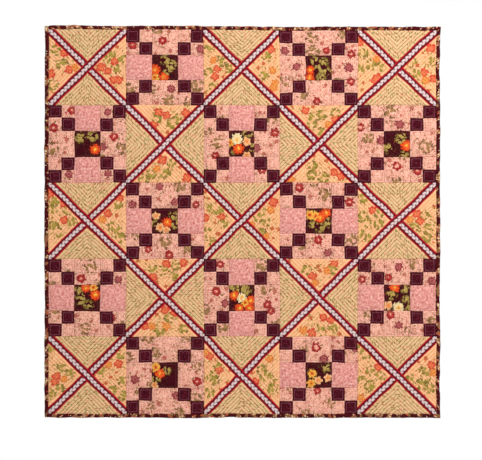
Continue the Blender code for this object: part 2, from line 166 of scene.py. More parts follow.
# Where the flowers lie in each block, by row and column: a motif's letter, then u,v.
POSIES = {
    (0, 0): "L.55,1.6 R1.15,1.87 L1.1,2.7 L.75,2.75 R1.6,3.2 O2.0,3.0 R.15,3.5 L.3,4.4 R.8,1.1"
            " L4.8,2.0 R5.1,2.5 L4.6,2.4 R4.1,3.0 R4.6,3.3 L5.3,3.1 R5.5,4.0 R5.1,4.0 L5.7,2.3",
    (0, 1): "G3.0,2.4 G3.5,2.8 G3.2,3.3 A2.2,3.2 A2.9,3.75 Y2.2,3.8 r2.8,.9 r.5,1.2 b3.4,1.7"
            " m5.8,1.5 m3.5,4.7 s3.3,5.6 s5.4,4.4 s.3,4.7",
    (0, 2): "L.48,1.37 O.8,2.4 L1.44,2.5 R1.07,3.1 L2.1,3.0 R.87,3.7 L.4,3.4 L.75,4.5"
            " B4.7,2.7 L5.0,2.1 O5.4,3.2 L4.8,3.6 O5.6,4.2 R5.3,1.5 B4.3,3.0 O5.5,4.6",
    (0, 3): "G2.7,2.4 G3.4,2.5 G3.6,3.2 G3.0,3.1 A2.35,3.2 A2.3,3.8 G3.2,3.8 r3.6,1.6 m1.3,2.9"
            " m5.3,3.0 m.4,1.6 r2.9,5.7 r5.5,1.9 r5.5,4.1 s2.5,.6 s2.6,1.7",
    (0, 4): "R.05,.95 L.4,1.8 L.1,3.1 O1.4,2.3 L1.0,2.75 L1.7,2.9 R1.5,3.8 R1.3,4.0"
            " R5.6,1.4 L5.75,2.5 B4.6,2.8 L4.2,2.6 R5.1,3.4 L4.6,3.5 O5.2,4.0 R5.8,3.9",
    (1, 0): "G2.45,2.5 G3.4,2.4 A3.6,3.4 r5.1,2.4 r.4,1.8 r1.8,.4 m4.2,3.2 m4.6,.5 m1.6,5.3"
            " m4.6,5.3",
    (1, 1): "R2.5,.6 R3.1,.8 L2.4,1.05 L3.9,1.1 L3.5,1.4 R2.15,1.55 R4.6,.6 B3.2,2.1"
            " R2.8,4.2 O2.4,4.9 L3.5,4.5 L3.0,5.2 L2.0,5.4 R4.7,5.6 L1.4,5.7",
    (1, 2): "D2.65,2.65 A2.75,3.35 P3.4,2.8 Y2.1,2.9 P3.4,3.9 G2.0,3.8 G3.9,3.3 G3.5,2.1"
            " m4.2,3.3 r5.6,2.1 r4.6,5.0 r.9,3.9 s1.0,2.9",
    (1, 3): "R2.0,.4 L2.6,1.0 L2.5,1.4 L3.2,.8 O3.8,1.5 R4.3,1.05 L4.3,.6 L3.2,2.1"
            " L2.6,4.7 L2.5,5.4 B3.6,4.3 R4.2,5.2 R4.7,5.5 O.9,5.8 L3.4,5.6",
    (1, 4): "G3.3,2.55 G2.3,3.3 G3.6,3.9 A3.75,3.1 m3.2,1.5 w.2,1.7 w3.0,4.7 r4.6,5.1 m1.8,2.7"
            " s2.5,.5 s5.2,3.2",
    (2, 0): "R.05,.9 L.5,1.4 R1.2,1.6 L.3,2.1 L1.5,2.15 R1.25,2.9 L1.8,3.1 L.4,3.4 L.8,3.9"
            " R5.5,1.2 L5.4,1.65 R4.6,2.4 O4.2,2.9 L4.9,3.5 L5.3,3.7 L5.6,4.3",
    (2, 1): "P2.35,2.6 A3.2,3.1 P2.65,3.5 P3.1,3.7 G3.7,2.6 G3.85,3.2 G2.1,3.1 m2.6,.3 m3.8,1.5"
            " m.5,1.7 r5.4,1.7 r1.7,5.2 r3.3,5.7 s3.0,4.7",
    (2, 2): "L.65,2.0 L1.15,2.15 R1.4,2.65 L1.5,3.2 R.1,2.75 L.25,3.9 B1.1,4.0 L.6,4.6"
            " R5.5,1.5 O5.3,2.1 L4.7,2.3 L4.35,2.75 L5.0,3.1 O3.8,3.3 L4.6,3.9 O4.9,4.2 B5.4,3.6",
    (2, 3): "Y2.3,2.5 Y2.75,2.6 A3.1,2.75 A3.55,2.35 G2.6,3.3 G3.05,3.5 G3.75,3.1 r1.5,.4"
            " r5.4,1.5 r3.0,4.5 m3.7,5.5 s3.5,.9 s5.4,4.4",
    (2, 4): "L.4,1.25 R1.15,2.15 L1.65,2.4 L.35,2.7 L.7,3.1 L1.65,3.3 L.1,3.9 L.9,4.4"
            " O4.0,2.9 R4.75,3.0 R4.5,2.4 L5.1,2.5 L4.4,3.4 L5.4,3.5 L5.3,4.3",
    (3, 0): "G2.3,2.5 G2.5,3.1 G3.1,3.5 A2.9,2.2 A3.65,2.75 Y3.5,2.2 r2.5,1.5 m1.2,3.3 r4.9,4.5"
            " m5.4,1.6 s3.2,.6 s2.8,5.4",
    (3, 1): "R3.1,.4 L2.05,.75 L2.95,.8 L3.85,.5 R4.4,.3 L3.7,1.3 R2.1,1.4 B2.4,1.8 B3.1,2.1"
            " R3.0,3.95 B2.4,4.3 L3.3,4.5 R1.5,5.2 O2.0,5.2 L2.6,5.5 O3.1,5.2 R3.7,4.1 L4.4,5.4",
    (3, 2): "A2.4,2.75 D3.0,2.95 Y3.3,3.35 A3.75,3.2 A2.85,3.8 A3.6,3.8 G2.9,2.2 G3.4,2.45"
            " G2.2,2.3 r1.0,2.5 m1.7,3.4 r5.0,3.5 r5.3,4.0 r1.3,.4",
    (3, 3): "L2.1,.9 R2.5,1.3 B3.0,.6 B3.15,.9 O3.7,.9 R4.2,.4 L4.1,.8 O2.7,1.8"
            " B2.4,4.5 R3.4,4.5 R4.0,4.7 O1.8,5.5 R2.45,5.7 L4.2,5.3 B4.6,5.8 L3.2,5.4",
    (3, 4): "A2.8,2.2 G2.6,2.7 G3.6,2.3 G3.75,3.1 G3.8,3.6 P2.3,3.6 D3.1,3.75 m3.1,.6 m5.7,1.7"
            " m3.1,5.1 r2.3,1.4 r.3,1.6 r2.5,4.3",
    (4, 0): "L.25,.95 L1.0,2.45 L1.65,2.8 R.6,3.1 R.5,3.5 O1.2,3.3 L.25,4.35 L.85,4.0"
            " L5.5,1.4 O4.65,2.2 R5.4,2.05 L4.1,2.7 L5.7,3.45 B4.45,3.6 L5.0,4.15 L5.8,4.6",
    (4, 1): "Y2.3,2.35 A2.65,2.85 G2.3,3.35 G3.15,2.6 P2.2,3.75 m.7,3.3 m3.9,4.6 r5.5,3.5",
    (4, 2): "O.1,1.2 R.5,1.5 L1.05,2.2 R1.2,2.5 L.45,3.0 L.8,3.3 L.45,4.35"
            " O5.2,1.7 L5.0,1.4 L4.6,2.6 L5.0,3.0 L4.7,3.2 L5.3,3.4 R4.1,3.5 L5.4,4.1",
    (4, 3): "Y2.5,2.85 Y2.4,3.65 P2.95,3.4 P3.7,3.2 G3.6,2.4 w2.8,.8 m3.4,1.7 m5.8,.9 r2.9,4.2",
    (4, 4): "L.05,.95 L.7,1.3 L1.0,2.6 R1.6,2.3 L1.55,3.0 L.1,3.3 L.9,3.8 O.3,4.8"
            " R5.6,2.25 L5.15,2.6 O5.8,2.8 L4.0,3.3 L4.8,3.7 L5.3,3.3 L5.5,4.0",
}


CHAIN_FINISHES = ("floral", "mottled", "plum", "posy")
MOTTLED_SIDES = {  # which of a chain block's side squares are cut from the mottled cloth
    (0, 1): "LR", (0, 3): "", (1, 0): "TB", (1, 2): "TB", (1, 4): "", (2, 1): "LR",
    (2, 3): "LR", (3, 0): "LR", (3, 2): "TB", (3, 4): "LR", (4, 1): "", (4, 3): "LR",
}
LONG, SHORT, UPRIGHT, SIDEWAYS = range(4)  # the kinds of patch in a crossed block


# Shapes


def smoothstep(value, low, high):
    share = np.clip((value - low) / (high - low), 0, 1)
    return share * share * (3 - 2 * share)


def pillow(distance, room):
    """A rounded rise, from 0 at a seam or a stitched line to 1 at room away from it."""
    share = np.clip(distance / room, 0, 1)
    return np.sqrt(1 - (1 - share) ** 2)


def waves(x, z, length, seed, count=7):
    """A smooth random field, mostly between -1 and 1, of sine waves about this long."""
    draw = np.random.default_rng(seed)
    total = 0
    for _ in range(count):
        way, start = draw.uniform(0, 2 * math.pi, 2)
        turn = 2 * math.pi / (length * draw.uniform(0.7, 1.4))
        total = total + np.sin((x * math.cos(way) + z * math.sin(way)) * turn + start)
    return total / math.sqrt(count)


def swollen(offset):
    """How much further out the binding's padding pushes what lies outside the field of blocks."""
    return np.sign(offset) * np.maximum(np.abs(offset) - FIELD / 2, 0) * SWELL


def hung(points):
    """Points of the flat quilt as it hangs: seams stray, edges waver, and it ripples forward."""
    x, y, z = np.asarray(points, float).T
    seams = np.linspace(-FIELD / 2, FIELD / 2, GRID + 1)
    stray_x = np.interp(x - MIDDLE_X, seams, SEAM_DRIFT_X) * MM
    stray_z = np.interp(z - MIDDLE_Z, seams, SEAM_DRIFT_Z) * MM
    waver_x = WAVER * waves(x, z, 0.21, 11) + JOG * waves(x, z, 0.07, 14)
    waver_z = WAVER * waves(x, z, 0.19, 12) + JOG * waves(x, z, 0.07, 15)
    down = (EDGE_HIGH.z - z) / (EDGE_HIGH.z - EDGE_LOW.z)
    short = DRAWN_IN * smoothstep(x - MIDDLE_X, -0.3, 0.15) * np.minimum(2 * down - 1, 0) ** 3
    new_x = x + swollen(x - MIDDLE_X) + stray_x + waver_x
    new_z = MIDDLE_Z + RISE + (z - MIDDLE_Z) * SHRINK + swollen(z - MIDDLE_Z)
    new_z = new_z + stray_z + waver_z + short
    forward = RIPPLE * np.maximum(0.8 + waves(x, z, 0.5, 13), 0)
    return np.column_stack((new_x, y - smoothstep(down, 0.12, 0.5) * forward, new_z))


def block_point(row, column, u, v, height):
    """Points in a block, height metres in front of the patches' backs, on the flat quilt."""
    x = MIDDLE_X - FIELD / 2 + column * BLOCK + u * UNIT
    z = MIDDLE_Z + FIELD / 2 - row * BLOCK - v * UNIT
    return np.column_stack((x, PATCH_BACK - height, z))


def lattice(cells):
    """A block's points (u, v), and its square faces from the bottom left, facing the front."""
    line = np.arange(cells + 1)
    across, up = np.meshgrid(line, line)
    corner = (up * (cells + 1) + across)[:-1, :-1].ravel()
    faces = np.column_stack((corner, corner + 1, corner + cells + 2, corner + cells + 1))
    return across.ravel() * UNITS / cells, UNITS - up.ravel() * UNITS / cells, faces


def seam_in(number, size, u, v):
    """Metres from points of a patch to its nearest seam."""
    left, top = number % UNITS, number // UNITS
    return np.minimum.reduce([u - left, left + size - u, v - top, top + size - v]) * UNIT


def chain_layout(u, v):
    """In a chain block: each point's patch, the patch's size in units, and metres to its seam."""
    column = np.clip(u.astype(int), 0, UNITS - 1)
    row = np.clip(v.astype(int), 0, UNITS - 1)
    size = np.where((column // 2 == 1) | (row // 2 == 1), 2, 1)
    number = row // size * size * UNITS + column // size * size
    return number, size, seam_in(number, size, u, v)


def chain_height(u, v):
    """How far a chain block's cloth stands off, with a line quilted inside each square."""
    _, size, seam = chain_layout(u, v)
    outside = CHANNEL_PUFF * pillow(np.minimum(seam, INNER - seam), INNER / 2)
    room = size * UNIT / 2 - INNER
    inside = (SQUARE_PUFF + UNIT_PUFF * size) * pillow(seam - INNER, room)
    stitched = SEAM_HEIGHT + INNER_LIFT * np.clip(seam / INNER, 0, 1)
    return stitched + np.where(seam < INNER, outside, inside)


def diagonals(u, v, falls):
    """Metres from the long strip's middle line, the short strip's, and the block's edge."""
    right, up = (u - UNITS / 2) * UNIT, (UNITS / 2 - v) * UNIT
    right = -right if falls else right
    border = BLOCK / 2 - np.maximum(np.abs(right), np.abs(up))
    return (right - up) / math.sqrt(2), (right + up) / math.sqrt(2), border


def crossed_layout(u, v, falls):
    """In a crossed block: each point's kind of patch, and a number for the patch itself."""
    from_long, from_short, _ = diagonals(u, v, falls)
    kind = np.where(np.abs(v - UNITS / 2) > np.abs(u - UNITS / 2), UPRIGHT, SIDEWAYS)
    kind = np.where(np.abs(from_short) < HALF_STRIP, SHORT, kind)
    kind = np.where(np.abs(from_long) < HALF_STRIP, LONG, kind)
    side = np.where(kind == LONG, 0, (from_long > 0) + 2 * (from_short > 0) * (kind != SHORT))
    return kind, kind * 4 + side


def crossed_height(u, v, falls, kind):
    """How far a crossed block's cloth stands off, echo quilted beside the strips."""
    from_long, from_short, border = diagonals(u, v, falls)
    if kind == LONG:
        seam = np.minimum(HALF_STRIP - np.abs(from_long), border)
        return SEAM_HEIGHT + STRIP_PUFF * pillow(seam, STRIP_EASE)
    if kind == SHORT:
        seam = np.minimum(HALF_STRIP - np.abs(from_short), np.abs(from_long) - HALF_STRIP)
        return SEAM_HEIGHT + STRIP_PUFF * pillow(np.minimum(seam, border), STRIP_EASE)
    seam = np.minimum(np.abs(from_long), np.abs(from_short)) - HALF_STRIP
    line = np.abs(seam / ECHO - np.round(seam / ECHO)) * ECHO
    puff = ECHO_LIFT * pillow(seam, ECHO) + ECHO_PUFF * pillow(line, ECHO / 2)
    return SEAM_HEIGHT + puff * pillow(border, BORDER_EASE)


def split_at_strips(faces):
    """A crossed block's faces, with those that a strip's edge crosses cut corner to corner."""
    cells = CROSSED_CELLS
    number = np.arange(len(faces))
    across, up = number % cells - cells // 2, number // cells - cells // 2
    rises = np.abs(across - up) == STRIP_CELLS
    falls = np.abs(across + up + 1) == STRIP_CELLS
    a, b, c, d = faces[rises].T
    rising = [np.column_stack((a, b, c)), np.column_stack((a, c, d))]
    a, b, c, d = faces[falls].T
    falling = [np.column_stack((a, b, d)), np.column_stack((b, c, d))]
    return faces[~rises & ~falls], np.concatenate(rising + falling)


def posies(row, column, letters):
    """The motifs of these kinds in a block: a row each of u, v, radius, kind and turn."""
    draw = np.random.default_rng(row * GRID + column)
    found = []
    for word in POSIES[row, column].split():
        if word[0] in letters:
            u, v = (float(part) for part in word[1:].split(","))
            found.append((u, v, MOTIFS[word[0]].radius * draw.uniform(0.9, 1.1), word[0]))
    for letter in set(letters) & set("bB"):  # buds and sprigs between the flowers
        for _ in range(60):
            u, v = draw.uniform(0, UNITS, 2)
            small = "s" if letter == "b" and draw.uniform() < 0.5 else letter
            radius = MOTIFS[small].radius * draw.uniform(0.6, 1.0)
            if all(math.hypot(u - f[0], v - f[1]) > (radius + f[2]) * 1.15 for f in found):
                found.append((u, v, radius, small))
    kinds = list(MOTIFS)
    turns = [draw.uniform(0, 2 * math.pi) for _ in found]
    return np.array([(*f[:3], kinds.index(f[3]), turn) for f, turn in zip(found, turns)])


class Cloth:
    """Gathers the patches of one piece, then makes its mesh with its maps."""

    def __init__(self):
        self.points, self.faces, self.finish = [], [], []
        self.cloth, self.quilting, self.motif, self.kind = [], [], [], []
        self.count = 0

    def add(self, points, faces, finish, cloth=None, quilting=None, motif=None, kind=None):
        """points and the maps are by point, faces a list of arrays, motif and kind by corner.

        Without maps, the cloth is mapped as it is seen from the front, with no line stitched.
        """
        cloth = points[:, [0, 2]] / MM if cloth is None else cloth
        quilting = np.full_like(cloth, BETWEEN_LINES) if quilting is None else quilting
        for group in faces:
            corners = group.ravel()
            self.faces += (group + self.count).tolist()
            self.finish += [finish] * len(group)
            self.cloth.append(cloth[corners])
            self.quilting.append(quilting[corners])
            if motif is None:
                self.motif.append(np.full((len(corners), 2), FAR))
                self.kind.append(np.zeros(len(corners)))
        if motif is not None:
            self.motif.append(motif)
            self.kind.append(kind)
        self.points.append(points)
        self.count += len(points)

    def piece(self, name, finishes):
        mesh = bpy.data.meshes.new(name)
        mesh.from_pydata(np.concatenate(self.points).tolist(), [], self.faces)
        for part in finishes:
            mesh.materials.append(part)
        mesh.polygons.foreach_set("material_index", self.finish)
        for layer in ("cloth", "quilting", "motif"):
            values = np.concatenate(getattr(self, layer)).astype(np.float32)
            mesh.uv_layers.new(name=layer).uv.foreach_set("vector", values.ravel())
        kind = mesh.attributes.new("motif_kind", "FLOAT", "CORNER")
        kind.data.foreach_set("value", np.concatenate(self.kind).astype(np.float32))
        mesh.shade_smooth()
        return show(name, mesh)


def one_cloth(name, finish, points, faces, cloth=None, quilting=None):
    """A piece made of a single cloth."""
    gathered = Cloth()
    gathered.add(points, [faces], 0, cloth, quilting)
    return gathered.piece(name, [FINISH[finish]])


def show(name, mesh):
    obj = bpy.data.objects.new(name, mesh)
    bpy.context.scene.collection.objects.link(obj)
    return obj


@contextmanager
def edited(mesh):
    """A mesh's bmesh, written back when the block that uses it ends."""
    shape = bmesh.new()
    shape.from_mesh(mesh)
    yield shape
    shape.to_mesh(mesh)
    shape.free()


def assign_motifs(u, v, faces, motifs):
    """Each corner's place in the motif nearest its face, in radii, and that motif's kind."""
    corners = faces.ravel()
    width = faces.shape[1]
    middle_u, middle_v = u[faces].mean(1), v[faces].mean(1)
    away = np.hypot(middle_u[:, None] - motifs[:, 0], middle_v[:, None] - motifs[:, 1])
    away = away / motifs[:, 2]
    nearest = np.repeat(away.argmin(1), width)
    clear = np.repeat(away.min(1) > MOTIF_REACH, width)
    centre_u, centre_v, radius, kind, turn = motifs[nearest].T
    du, dv = (u[corners] - centre_u) / radius, (centre_v - v[corners]) / radius
    x = du * np.cos(turn) - dv * np.sin(turn)
    y = du * np.sin(turn) + dv * np.cos(turn)
    place = np.where(clear[:, None], FAR, np.column_stack((x, y)))
    return place, (kind + 0.5) / len(MOTIFS)


def fabric(u, v, draw):
    """Places on the printed cloth, in millimetres, for a patch cut anywhere and any way round."""
    quarter = draw.integers(4) * math.pi / 2
    cos, sin = math.cos(quarter), math.sin(quarter)
    x, y = u * UNIT / MM, -v * UNIT / MM
    turned = np.column_stack((x * cos - y * sin, x * sin + y * cos))
    return turned + draw.uniform(-BOLT, BOLT, 2)


def fill_rims(shape):
    """Puts a face in every open rim, and turns all faces outward."""
    rims = [edge for edge in shape.edges if edge.is_boundary]
    bmesh.ops.holes_fill(shape, edges=rims, sides=0)
    bmesh.ops.recalc_face_normals(shape, faces=shape.faces)


def close_backs(piece):
    """Turns every patch into a closed body: an edge down to the batting, and a flat back."""
    with edited(piece.data) as shape:
        rim = [edge for edge in shape.edges if edge.is_boundary]
        made = bmesh.ops.extrude_edge_only(shape, edges=rim)["geom"]
        for point in made:
            if isinstance(point, bmesh.types.BMVert):
                point.co.y = PATCH_BACK
        fill_rims(shape)


def hang(piece):
    """Moves a flat piece's points to where the hanging quilt has them."""
    mesh = piece.data
    places = np.empty(len(mesh.vertices) * 3)
    mesh.vertices.foreach_get("co", places)
    mesh.vertices.foreach_set("co", hung(places.reshape(-1, 3)).ravel())
    mesh.update()


def add_allowance(cloth, row, column, finish, spans, depth):
    """Seam allowances along these spans of a block's sides, pressed flat behind the seams."""
    over = SEAM_ALLOWANCE / UNIT
    for upright in (True, False):
        for low, high in spans:
            steps = np.linspace(low, high, 1 + round(4 * (high - low)))
            if not upright:  # these stop just short of the upright ones
                steps = np.clip(steps, 1.05 * over, UNITS - 1.05 * over)
            for side in (0, UNITS):
                along = np.repeat(steps, 4)
                across = np.tile(side + over * np.array([-1, 1, 1, -1]), len(steps))
                behind = np.tile(depth + ALLOWANCE_CLOTH * np.array([0, 0, 1, 1]), len(steps))
                u, v = (across, along) if upright else (along, across)
                points = block_point(row, column, u, v, -behind)
                last = len(points) - 4
                ends = np.array([[3, 2, 1, 0], [last, last + 1, last + 2, last + 3]])
                faces = [grid_faces(len(steps), 4, wrap_columns=True), ends]
                cloth.add(points, faces, finish)


def chain_block(row, column):
    """One chain block: twenty-one squares with their own prints, sewn and quilted."""
    draw = np.random.default_rng(100 + row * GRID + column)
    u, v, faces = lattice(CHAIN_CELLS)
    patch, size, _ = chain_layout(u[faces].mean(1), v[faces].mean(1))
    cloth = Cloth()
    prints = chain_prints(row, column)
    for number in np.unique(patch):
        quads = faces[patch == number]
        used, renumbered = np.unique(quads, return_inverse=True)
        quads = renumbered.reshape(-1, 4)
        pu, pv = u[used], v[used]
        finish = prints[number]
        seam = seam_in(number, size[patch == number][0], pu, pv)
        points = block_point(row, column, pu, pv, chain_height(pu, pv))
        points[:, 1] -= wrinkles(points) * pillow(seam, INNER)
        phase = np.minimum(seam / INNER, PAST_LINES)
        quilting = np.column_stack((phase, (pu + pv) * UNIT / MM))
        letters = {"floral": ON_FLORAL, "posy": ON_POSY}.get(finish)
        motif, kind = None, None
        if letters:
            motif, kind = assign_motifs(pu, pv, quads, posies(row, column, letters))
        index = CHAIN_FINISHES.index(finish)
        cloth.add(points, [quads], index, fabric(pu, pv, draw), quilting, motif, kind)
    add_allowance(cloth, row, column, CHAIN_FINISHES.index("floral"), [(0, UNITS)], CHAIN_DEPTH)
    name = f"chain_block_{row + 1}_{column + 1}_patches"
    piece = cloth.piece(name, [FINISH[finish] for finish in CHAIN_FINISHES])
    close_backs(piece)
    return piece


def chain_prints(row, column):
    """Each patch's print, by the patch's number: six times its top row, plus its left column."""
    prints = {}
    for top in range(UNITS):
        for left in range(UNITS):
            plum = left == top or left + top == UNITS - 1
            prints[top * UNITS + left] = "plum" if plum else "floral"
    prints[2 * UNITS + 2] = "posy"
    for side, number in (("T", 2), ("L", 2 * UNITS), ("R", 2 * UNITS + 4), ("B", 4 * UNITS + 2)):
        prints[number] = "mottled" if side in MOTTLED_SIDES[row, column] else "floral"
    return prints


def wrinkles(points):
    """Small puckers that the quilting draws into the cloth."""
    x, _, z = points.T
    return FINE_PUCKER * waves(x, z, 0.012, 21) + BROAD_PUCKER * waves(x, z, 0.031, 22)


def long_strip_falls(row, column):
    return row > 2 or (row == 2 and column == 0)


def crossed_block(row, column):
    """One crossed block: its four echo-quilted triangles, and its three strips."""
    draw = np.random.default_rng(200 + row * GRID + column)
    falls = long_strip_falls(row, column)
    u, v, faces = lattice(CROSSED_CELLS)
    groups = split_at_strips(faces)
    layouts = [crossed_layout(u[g].mean(1), v[g].mean(1), falls) for g in groups]
    motifs = posies(row, column, ON_PEACH)
    triangles, strips = Cloth(), Cloth()
    for number in np.unique(np.concatenate([patch for _, patch in layouts])):
        kind = number // 4
        parts = [g[patch == number] for g, (_, patch) in zip(groups, layouts)]
        used = np.unique(np.concatenate([part.ravel() for part in parts]))
        parts = [np.searchsorted(used, part) for part in parts]
        pu, pv = u[used], v[used]
        from_long, from_short, _ = diagonals(pu, pv, falls)
        height = crossed_height(pu, pv, falls, kind)
        points = block_point(row, column, pu, pv, height)
        points[:, 1] -= wrinkles(points) * pillow(height - SEAM_HEIGHT, MM)
        if kind in (LONG, SHORT):
            across, along = (from_long, from_short) if kind == LONG else (from_short, from_long)
            strips.add(points, parts, 0, np.column_stack((along, across)) / MM)
            continue
        peach = (kind == UPRIGHT) == (row % 2 == 1)
        seam = np.minimum(np.abs(from_long), np.abs(from_short)) - HALF_STRIP
        along = np.maximum(np.abs(from_long), np.abs(from_short)) / MM
        quilting = np.column_stack((seam / ECHO, along))
        place = fabric(pu, pv, draw)
        motif, letter = None, None
        if peach:
            found = [assign_motifs(pu, pv, part, motifs) for part in parts]
            motif = np.concatenate([f[0] for f in found])
            letter = np.concatenate([f[1] for f in found])
        triangles.add(points, parts, int(peach), place, quilting, motif, letter)
    corner = UNITS * STRIP_CELLS / CROSSED_CELLS
    corners = [(0, corner), (UNITS - corner, UNITS)]
    add_allowance(triangles, row, column, 0, [(corner, UNITS - corner)], CROSSED_DEPTH)
    add_allowance(strips, row, column, 0, corners, CROSSED_DEPTH)
    name = f"crossed_block_{row + 1}_{column + 1}_"
    made = [
        triangles.piece(name + "triangles", [FINISH["khaki"], FINISH["peach"]]),
        strips.piece(name + "strips", [FINISH["rope"]]),
    ]
    for piece in made:
        close_backs(piece)
    return made


def grid_faces(rows, columns, wrap_rows=False, wrap_columns=False):
    """Square faces between rows of points, closed into a ring either way if asked."""
    down = np.arange(rows if wrap_rows else rows - 1)
    along = np.arange(columns if wrap_columns else columns - 1)
    i, j = np.meshgrid(down, along, indexing="ij")
    next_i, next_j = (i + 1) % rows, (j + 1) % columns
    around = ((i, j), (i, next_j), (next_i, next_j), (next_i, j))
    return np.column_stack([(row * columns + column).ravel() for row, column in around])


def slab(x, z, front, back):
    """A closed body between two height fields over the same lattice, as points and faces."""
    rows, columns = x.shape
    fronts = np.column_stack((x.ravel(), front.ravel(), z.ravel()))
    backs = np.column_stack((x.ravel(), back.ravel(), z.ravel()))
    sheet = grid_faces(rows, columns)
    n = rows * columns
    index = np.arange(n).reshape(rows, columns)
    rim = np.concatenate([index[0, :-1], index[:-1, -1], index[-1, :0:-1], index[:0:-1, 0]])
    following = np.roll(rim, -1)
    edge = np.column_stack((rim, rim + n, following + n, following))
    return np.concatenate([fronts, backs]), np.concatenate([sheet, sheet[:, ::-1] + n, edge])


def in_field(x, z):
    """The row, column, u and v of places in the field of blocks."""
    across = np.clip((x - MIDDLE_X + FIELD / 2) / BLOCK, 0, GRID - 1e-6)
    down = np.clip((MIDDLE_Z + FIELD / 2 - z) / BLOCK, 0, GRID - 1e-6)
    column, row = across.astype(int), down.astype(int)
    return row, column, (across - column) * UNITS, (down - row) * UNITS


def quilted_height(x, z):
    """How high the quilting lets the cloth stand at any place in the field of blocks."""
    row, column, u, v = in_field(x, z)
    height = chain_height(u, v)
    crossed = (row + column) % 2 == 0
    for falls in (False, True):
        kinds, _ = crossed_layout(u, v, falls)
        turned = np.vectorize(long_strip_falls)(row, column) == falls
        for kind in (LONG, SHORT, UPRIGHT, SIDEWAYS):
            here = crossed & turned & (kinds == kind)
            height = np.where(here, crossed_height(u, v, falls, kind), height)
    return height


def quilted_phase(x, z):
    """The quilting map at any place in the field of blocks."""
    row, column, u, v = in_field(x, z)
    _, _, seam = chain_layout(u, v)
    from_long, from_short, _ = diagonals(u, v, False)
    near, far = np.sort(np.abs([from_long, from_short]), axis=0)
    crossed = (row + column) % 2 == 0
    echo = (near - HALF_STRIP) / ECHO
    echo = np.where(echo < 0, np.minimum(-echo, BETWEEN_LINES), echo)
    phase = np.where(crossed, echo, np.minimum(seam / INNER, PAST_LINES))
    return np.column_stack((phase, np.where(crossed, far, (u + v) * UNIT) / MM))


def field_lattice(inset, count):
    """A square lattice over the quilt: X, Z and metres in from its edge, which lies inset in."""
    reach = QUILT / 2 - inset
    line = np.linspace(-reach, reach, count)
    across, up = np.meshgrid(line, line)
    return MIDDLE_X + across, MIDDLE_Z + up, reach - np.maximum(np.abs(across), np.abs(up))


def batting():
    """The soft filling, uneven on both sides, between the patches and the backing."""
    x, z, _ = field_lattice(BATTING_INSET, 150)
    lumps = 0.12 * MM * waves(x, z, 0.02, 31)
    front, back = BATTING_FRONT + 0.3 * MM + lumps, BATTING_BACK - BACKING_PUFF + lumps
    return one_cloth("batting_layer", "batting", *slab(x, z, front, back))


def backing():
    """The backing cloth, drawn in by the quilting that shows on it from behind."""
    x, z, from_edge = field_lattice(BACKING_INSET, 305)
    hollow = BACKING_PUFF - np.minimum(quilted_height(x, z) * 0.5, BACKING_PUFF)
    back = QUILT_BACK - 0.05 * MM - hollow * pillow(from_edge, 6 * MM)
    points, faces = slab(x, z, back - BACKING_THICKNESS, back)
    both_sides = np.tile(quilted_phase(x.ravel(), z.ravel()), (2, 1))
    return one_cloth("backing_cloth", "backing", points, faces, quilting=both_sides)


def binding_profile():
    """The folded binding's section as a loop, (in from the edge, Y), and millimetres along it."""
    front = PATCH_BACK - SEAM_HEIGHT
    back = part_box("binding")[1].y
    middle, radius = (front + back) / 2, (back - front) / 2 + 0.2 * MM
    turn = np.linspace(-math.pi / 2, math.pi / 2, 15)
    flat = np.linspace(1, 0, 9)[:-1]
    swell = 0.7 * MM * np.sin(flat * math.pi) ** 0.7
    inner_edge = BINDING_WIDTH - radius
    sections = []
    for inset in (0, BINDING_THICKNESS):
        ins = radius + flat * inner_edge
        fold_in = radius - (radius - inset) * np.cos(turn)
        fold_y = middle + (radius - inset) * np.sin(turn)
        sewn_down = np.where(flat == 1, 0.2 * MM, 0)
        ys = middle - radius + inset - swell * (1 - inset / (2 * MM)) + sewn_down
        over = np.concatenate([ins, fold_in, ins[::-1]])
        heights = np.concatenate([ys, fold_y, middle + radius - inset + 0 * ys])
        sections.append(np.column_stack((over, heights)))
    outer, lining = sections
    section = np.concatenate([outer, lining[::-1]])
    steps = np.hypot(*np.diff(section, axis=0).T)
    return section, np.concatenate([[0], np.cumsum(steps)]) / MM


def binding():
    """The binding, folded over the quilt's edge and mitred at its corners."""
    section, over = binding_profile()
    per_side = 150
    half = QUILT / 2
    share = np.linspace(-1, 1, per_side + 1)[:-1]
    along = (np.arange(4 * per_side) / per_side + 0.5) * QUILT / MM
    rings, places = [], []
    for (inset, y), across in zip(section, over):
        run, edge = share * (half - inset), np.full(per_side, half - inset)
        x = MIDDLE_X + np.concatenate((run, edge, -run, -edge))
        z = MIDDLE_Z + np.concatenate((-edge, run, edge, -run))
        rings.append(np.column_stack((x, np.full(len(x), y), z)))
        places.append(np.column_stack((along, np.full(len(x), across))))
    points = np.concatenate(rings)
    x, y, z = points.T
    puckers = 0.22 * MM * waves(x, z, 0.016, 41) + 0.3 * MM * waves(x, z, 0.05, 42)
    right, up = x - MIDDLE_X, z - MIDDLE_Z
    outward = np.maximum(np.abs(right), np.abs(up)) - (half - BINDING_WIDTH)
    puckers = puckers * np.clip(outward / BINDING_WIDTH, 0, 1)
    points[:, 1] -= np.where(y < np.median(y), puckers * 0.6, 0)
    points[:, 0] += np.sign(right) * (np.abs(right) > np.abs(up) - MM) * puckers
    points[:, 2] += np.sign(up) * (np.abs(up) > np.abs(right) - MM) * puckers
    faces = grid_faces(len(section), 4 * per_side, wrap_rows=True, wrap_columns=True)
    return one_cloth("binding_fold", "binding", points, faces[:, ::-1], np.concatenate(places))


# Rail


def ring_body(rings, name, finish, maps):
    """A closed body from rings of points, with a cap at each end, and its cloth map."""
    rings = np.array(rings)
    faces = grid_faces(*rings.shape[:2], wrap_columns=True)
    piece = one_cloth(name, finish, rings.reshape(-1, 3), faces, np.concatenate(maps))
    with edited(piece.data) as shape:
        fill_rims(shape)
    return piece


